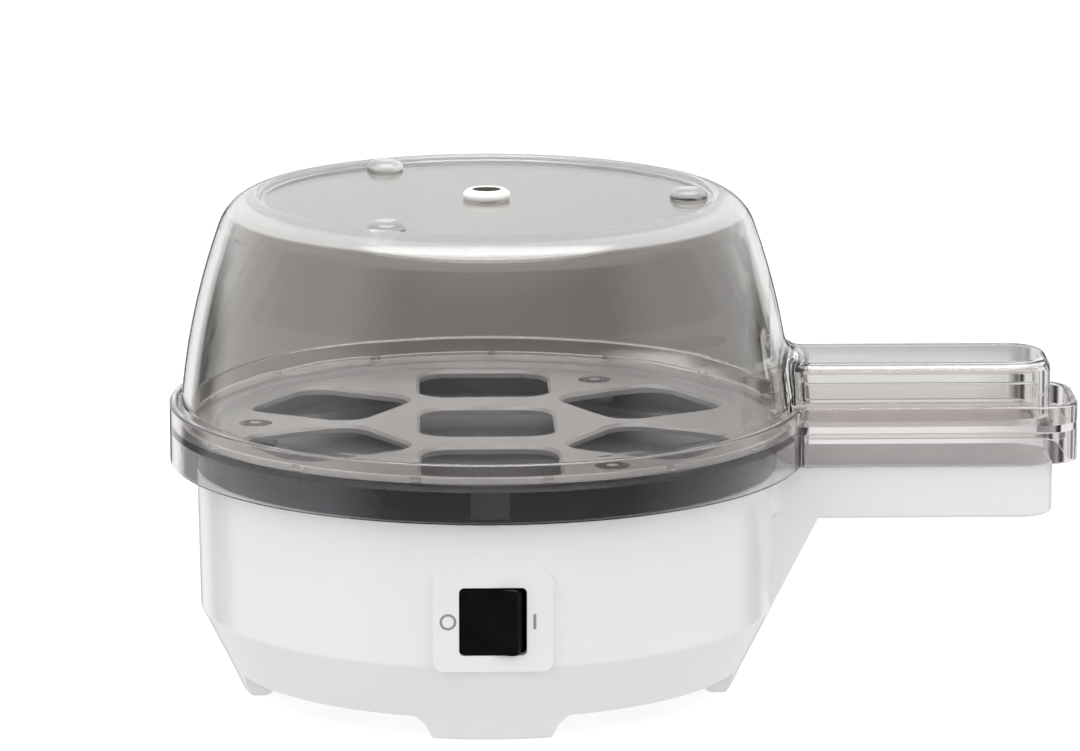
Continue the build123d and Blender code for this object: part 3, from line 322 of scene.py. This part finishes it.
white = white_body()
zinc = metal("zinc_plate", (0.62, 0.62, 0.63), 0.32)
steel = metal("bright_steel", (0.60, 0.60, 0.61), 0.28, (40, 1, 1))
heat = metal("element_sheath", (0.30, 0.28, 0.26), 0.45, (1, 1, 1), 0.55, 0.2)
alu = metal("soft_aluminium", (0.74, 0.74, 0.75), 0.36, (30, 1, 1), 0.85)
brass = metal("brass", (0.72, 0.55, 0.26), 0.30, (1, 30, 1), 0.8)
pale = ceramic("pale_ceramic", (0.80, 0.78, 0.72))
looks = {
    "housing": white, "base_pan": white, "arm_shell": white, "top_deck": white,
    "bowl_seal": moulded("silicone_seal", (0.62, 0.61, 0.59), 0.55, 0.02, 0.2, 0.3),
    "heating_bowl": coated(),
    "case_screws": zinc, "clamp_nuts": zinc, "bracket_screws": zinc, "switch_screws": zinc, "cord_clamp_screws": zinc,
    "heating_element": heat, "element_pins": steel, "element_clamp": alu, "thermostat_cap": alu,
    "thermal_fuse": metal("fuse_case", (0.70, 0.66, 0.58), 0.3, (1, 20, 1)),
    "element_insulators": pale, "thermostat_body": pale, "terminal_block": ceramic("block_ceramic", (0.84, 0.83, 0.79)),
    "thermostat_terminals": brass, "switch_terminals": brass, "terminal_screws": brass,
    "contact_arm": metal("contact_copper", (0.74, 0.48, 0.33), 0.28),
    "thermostat_bracket": steel, "fuse_clip": steel, "plunger_spring": steel,
    "fuse_sleeve": sleeve(),
    "switch_body": moulded("black_nylon", (0.02, 0.02, 0.022), 0.45, 0.006, 0.15),
    "switch_rocker": gloss_black(),
    "detent_plunger": moulded("acetal", (0.78, 0.77, 0.73), 0.35),
    "cord_grommet": moulded("white_grommet", (0.74, 0.74, 0.745), 0.5, 0.02, 0.2),
    "cord_clamp": moulded("white_nylon", (0.78, 0.78, 0.76), 0.45, 0.02, 0.15),
    "lead_live": wire("wire_brown", (0.20, 0.08, 0.035)),
    "lead_switched": wire("wire_brown_two", (0.18, 0.075, 0.03)),
    "lead_fuse": wire("wire_white", (0.78, 0.78, 0.76)),
    "lead_element": wire("wire_white_two", (0.76, 0.76, 0.75)),
    "lead_neutral": wire("wire_blue", (0.03, 0.10, 0.42)),
    "lead_earth": wire("wire_earth", (0.70, 0.62, 0.03), (0.05, 0.30, 0.05)),
    "egg_tray": clear_tray(),
    "lid": clear_lid(),
    "steam_vent": vent_bush(),
}
for name, obj in N.items():
    obj.data.materials.clear()
    obj.data.materials.append(looks[name])


# ------------------------------------------------- printed marks on the pad
PAD_Y = -75.4 * MM
MARK_Z = 33.4 * MM


def ink(name):
    m = Mat(name)
    m.set(base=(0.27, 0.27, 0.275), rough=0.45, spec=0.4)
    m.to("Base Color", m.ramp(m.noise(1500.0, 4.0), [(0.3, (0.24, 0.24, 0.245)), (0.7, (0.30, 0.30, 0.305))]))
    m.bump(m.noise(2200.0, 2.0), 0.1, 0.00002)
    return m.m


marks = ink("grey_ink")
INK = 0.03 * MM


def mark_object(name, bm):
    me = bpy.data.meshes.new(name)
    bm.normal_update()
    bm.to_mesh(me)
    bm.free()
    me.materials.append(marks)
    ob = bpy.data.objects.new(name, me)
    scene.collection.objects.link(ob)
    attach(ob, "base")
    return ob


def ring_mark(name, cx, cz, r_out, r_in, steps=64):
    bm = bmesh.new()
    loops = []
    for y, r in ((PAD_Y + INK, r_out), (PAD_Y - INK, r_out - INK * 0.5), (PAD_Y - INK, r_in + INK * 0.5),
                 (PAD_Y + INK, r_in)):
        loops.append([bm.verts.new((cx + r * math.cos(2 * math.pi * i / steps), y,
                                    cz + r * math.sin(2 * math.pi * i / steps))) for i in range(steps)])
    for k in range(4):
        a, b = loops[k], loops[(k + 1) % 4]
        for i in range(steps):
            j = (i + 1) % steps
            bm.faces.new((a[i], a[j], b[j], b[i]))
    bmesh.ops.recalc_face_normals(bm, faces=bm.faces)
    return mark_object(name, bm)


def bar_mark(name, cx, cz, w, h, corner=0.12 * MM, steps=6):
    outline = []
    for sx, sz, a0 in ((1, 1, 0), (-1, 1, 90), (-1, -1, 180), (1, -1, 270)):
        for i in range(steps + 1):
            a = math.radians(a0 + 90 * i / steps)
            outline.append((cx + sx * (w / 2 - corner) + corner * math.cos(a),
                            cz + sz * (h / 2 - corner) + corner * math.sin(a)))
    bm = bmesh.new()
    back = [bm.verts.new((x, PAD_Y + INK, z)) for x, z in outline]
    front = [bm.verts.new((x, PAD_Y - INK, z)) for x, z in outline]
    n = len(outline)
    for i in range(n):
        j = (i + 1) % n
        bm.faces.new((back[i], back[j], front[j], front[i]))
    bm.faces.new(front)
    bm.faces.new(back[::-1])
    bmesh.ops.recalc_face_normals(bm, faces=bm.faces)
    return mark_object(name, bm)


ring_mark("mark_off", -11.2 * MM, MARK_Z, 2.1 * MM, 1.45 * MM)
bar_mark("mark_on", 10.4 * MM, MARK_Z, 0.75 * MM, 3.9 * MM)

# ----------------------------------------------------------------- the stage
ABOVE, BELOW = 1.28, 0.68
LAMP, TOP, FLOOR_GLOW = 7.0, 1.2, 0.75
floor_me = bpy.data.meshes.new("floor")
bm = bmesh.new()
bmesh.ops.create_grid(bm, x_segments=2, y_segments=2, size=12.0)
bm.to_mesh(floor_me)
bm.free()
floor = bpy.data.objects.new("floor", floor_me)
scene.collection.objects.link(floor)
fm = Mat("floor")
fm.set(base=(0.36, 0.36, 0.36), rough=0.85, spec=0.0)
fm.b.inputs["Emission Color"].default_value = (1.0, 1.0, 1.0, 1.0)
fm.b.inputs["Emission Strength"].default_value = FLOOR_GLOW
floor_me.materials.append(fm.m)
# The worktop is lit and seen, but what shines in the plastic or shows through
# it is the studio, which the world below gives.
floor.visible_glossy = False
floor.visible_diffuse = False
floor.visible_transmission = False


def turn(deg):
    return (deg + 180.0) / 360.0


def grey(v):
    return v if isinstance(v, tuple) else (v, v, v)


# Brightness of the studio by compass direction, degrees from +Y towards +X:
# low is what lies below the horizon, high what lies above it. Behind the part
# hangs a narrow smoke-brown screen, which darkens the lid's walls, and the
# screen ends above the height at which the handles are seen.
FRONT = [(-180, 0.15), (-142, 0.15), (-118, 0.75), (-60, 0.95), (-50, 0.12), (-37, 0.12), (-30, 1.0),
         (-13.6, 1.0), (-12.8, 0.02), (-8.9, 0.02), (-8.3, 0.54), (-7.0, 0.44)]
SIDE = [(9.0, 0.18), (10.0, 0.42), (10.6, 0.02), (13.8, 0.02), (14.5, 1.0), (34, 1.0), (40, 0.12), (52, 0.12),
        (60, 0.9), (100, 0.5), (128, 0.15), (180, 0.15)]
SCREEN = [(-4.2, (0.37, 0.355, 0.345)), (4.2, (0.26, 0.245, 0.24))]
WALL = FRONT + SCREEN + SIDE
DESK = FRONT + [(-4.2, 0.36), (3.3, 0.30), (3.9, 1.0), (6.6, 1.0), (7.3, 0.08)] + SIDE
HIGH = [(-180, 0.18), (-142, 0.18), (-118, 0.95), (-40, 1.0), (2.8, 1.0), (3.8, 0.62), (8.0, 0.62), (9.5, 1.0),
        (40, 1.0), (108, 0.9), (130, 0.18), (180, 0.18)]


def studio():
    w = bpy.data.worlds.new("studio")
    scene.world = w
    w.use_nodes = True
    t = w.node_tree
    bg = t.nodes["Background"]

    def node(kind, **values):
        n = t.nodes.new(kind)
        for k, v in values.items():
            setattr(n, k, v)
        return n

    def span(v, a, b, c, d):
        n = node("ShaderNodeMapRange", clamp=True)
        for k, x in (("From Min", a), ("From Max", b), ("To Min", c), ("To Max", d)):
            n.inputs[k].default_value = x
        t.links.new(v, n.inputs["Value"])
        return n.outputs["Result"]

    def blend(fac, a, b):
        n = node("ShaderNodeMix", data_type="RGBA")
        t.links.new(fac, n.inputs[0])
        for s, v in ((n.inputs[6], a), (n.inputs[7], b)):
            if isinstance(v, float):
                s.default_value = (v, v, v, 1.0)
            else:
                t.links.new(v, s)
        return n.outputs[2]

    def ring(stops, fac):
        n = node("ShaderNodeValToRGB")
        e = n.color_ramp.elements
        while len(e) < len(stops):
            e.new(0.5)
        for i, (d, v) in enumerate(stops):
            e[i].position = turn(d)
            e[i].color = (*grey(v), 1.0)
        t.links.new(fac, n.inputs["Fac"])
        return n.outputs["Color"]

    sep = node("ShaderNodeSeparateXYZ")
    t.links.new(node("ShaderNodeTexCoord").outputs["Generated"], sep.inputs[0])
    az = node("ShaderNodeMath", operation="ARCTAN2")
    t.links.new(sep.outputs[0], az.inputs[0])
    t.links.new(sep.outputs[1], az.inputs[1])
    fac = span(az.outputs[0], -math.pi, math.pi, 0.0, 1.0)
    z = sep.outputs[2]
    low = blend(span(z, -0.2005, -0.1975, 0.0, 1.0), ring(DESK, fac), ring(WALL, fac))
    low = blend(span(z, -0.36, -0.28, 0.0, 1.0), 0.9, low)
    sides = blend(span(z, -0.03, 0.06, 0.0, 1.0), low, ring(HIGH, fac))
    sky = blend(span(z, 0.40, 0.60, 0.0, 1.0), sides, TOP)
    # a square lamp, high up and towards the camera

    def times(a, b):
        n = node("ShaderNodeMath", operation="MULTIPLY")
        t.links.new(a, n.inputs[0])
        t.links.new(b, n.inputs[1])
        return n.outputs[0]

    across = node("ShaderNodeMath", operation="ABSOLUTE")
    t.links.new(sep.outputs[0], across.inputs[0])
    lamp = times(span(across.outputs[0], 0.52, 0.60, 1.0, 0.0), span(sep.outputs[1], 0.04, 0.12, 1.0, 0.0))
    sky = blend(times(lamp, span(z, 0.83, 0.86, 0.0, 1.0)), sky, LAMP)
    path = node("ShaderNodeLightPath")
    soft = blend(span(z, -0.35, 0.35, 0.0, 1.0), BELOW, ABOVE)
    t.links.new(blend(path.outputs["Is Camera Ray"], blend(path.outputs["Is Diffuse Ray"], sky, soft), 1.0),
                bg.inputs["Color"])
    bg.inputs["Strength"].default_value = 1.0
    w.cycles.sampling_method = "NONE"


studio()


def softbox(name, at, to, size, power, colour=(1, 1, 1), glossy=False):
    d = bpy.data.lights.new(name, "AREA")
    d.shape = "RECTANGLE"
    d.size, d.size_y = size
    d.energy = power
    d.color = colour
    o = bpy.data.objects.new(name, d)
    scene.collection.objects.link(o)
    o.location = at
    o.rotation_euler = (Vector(to) - Vector(at)).to_track_quat("-Z", "Y").to_euler()
    o.visible_camera = False
    o.visible_glossy = glossy
    o.visible_transmission = glossy
    return o


softbox("overhead", (0.0, 0.05, 1.5), (0.0, 0.0, 0.05), (1.4, 1.4), 2.0)
softbox("front_left", (-1.1, -1.5, 1.0), (0.0, 0.0, 0.06), (0.9, 1.1), 2.6)
softbox("front_right", (1.3, -1.3, 0.9), (0.03, 0.0, 0.06), (0.9, 1.1), 1.4)

scene.view_settings.view_transform = "Standard"
scene.view_settings.look = "None"
scene.view_settings.exposure = 0.0
scene.view_settings.gamma = 1.0
scene.cycles.max_bounces = 32
scene.cycles.transmission_bounces = 28
scene.cycles.glossy_bounces = 10
scene.cycles.diffuse_bounces = 6
scene.cycles.transparent_max_bounces = 24
scene.cycles.sample_clamp_indirect = 6.0
scene.cycles.caustics_refractive = True
scene.cycles.caustics_reflective = False
